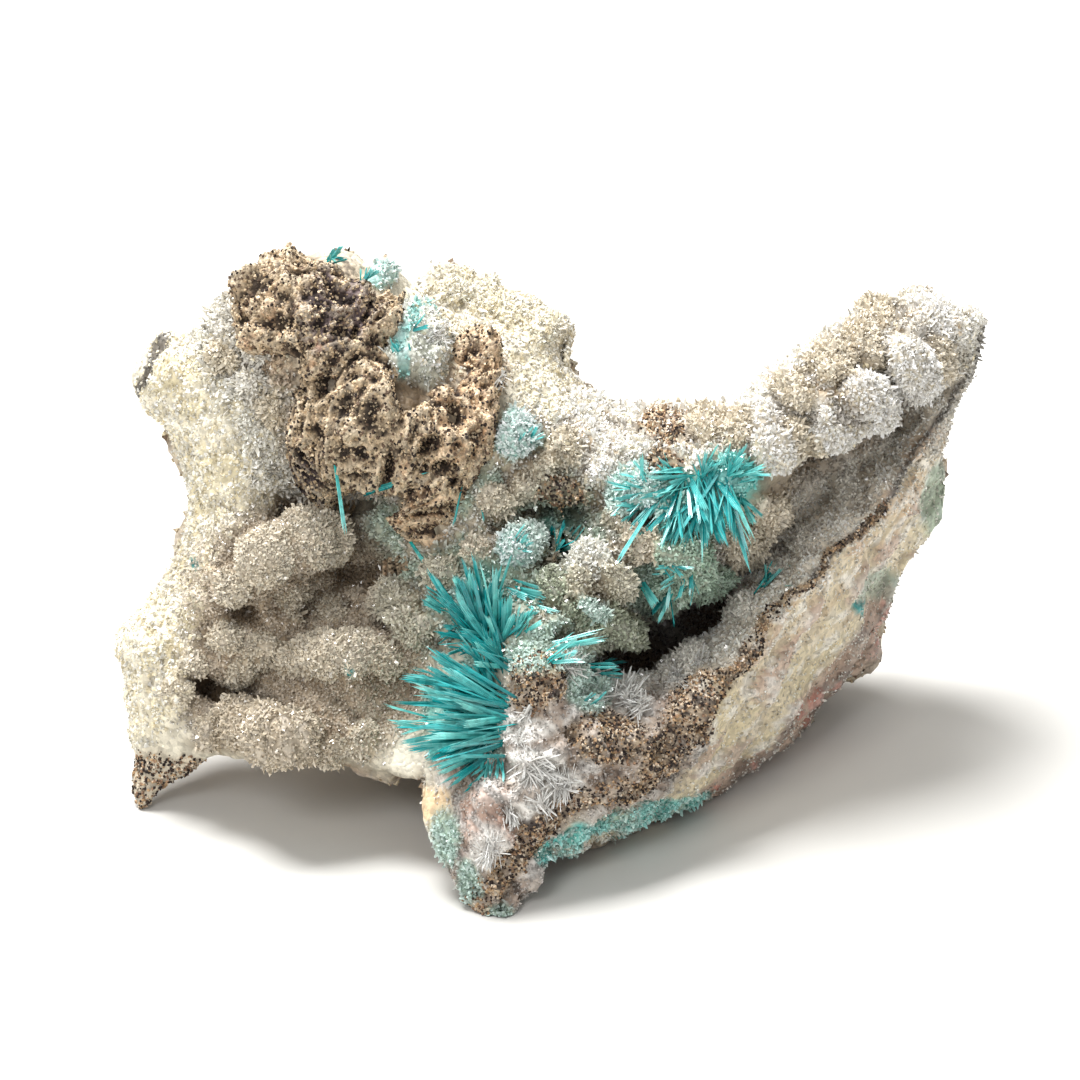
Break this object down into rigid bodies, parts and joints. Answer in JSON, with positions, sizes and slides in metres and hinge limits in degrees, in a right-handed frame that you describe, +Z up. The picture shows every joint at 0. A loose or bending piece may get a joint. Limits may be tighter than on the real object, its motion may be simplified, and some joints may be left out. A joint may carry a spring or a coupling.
{
  "type": "hemimorphite specimen",
  "caption": "Broken rock specimen with crystal-lined hollows, a spongy brown gossan crown and sprays of blue-green needles; stands on a flat underside.",
  "frame": {"origin": "middle of the bounding box, at the level of the flat underside it stands on", "axes": "+Z up, +X along the specimen's length towards its raised right wing, -Y towards the crystal face"},
  "size_m": [0.0768, 0.055, 0.0478],
  "materials": {
    "pale_rock": "rough sugary cream and grey rock",
    "druse": "sparkling crust of small clear grey crystals",
    "gossan": "matt spongy brown, with dark specks",
    "needle_crystal": "glassy blue-green needles, part clear",
    "pale_needle_crystal": "glassy pale blue-white needles, part clear"
  },
  "bodies": {
    "root": {"matrix": "pale_rock", "druse_crust_left": "druse", "druse_crust_right": "druse", "gossan_crown": "gossan", "needle_spray_upper": "needle_crystal", "needle_spray_lower": "needle_crystal", "needle_spray_right": "needle_crystal", "needle_spray_middle": "pale_needle_crystal", "needle_fan_under_gossan": "needle_crystal"}
  },
  "joints": []
}
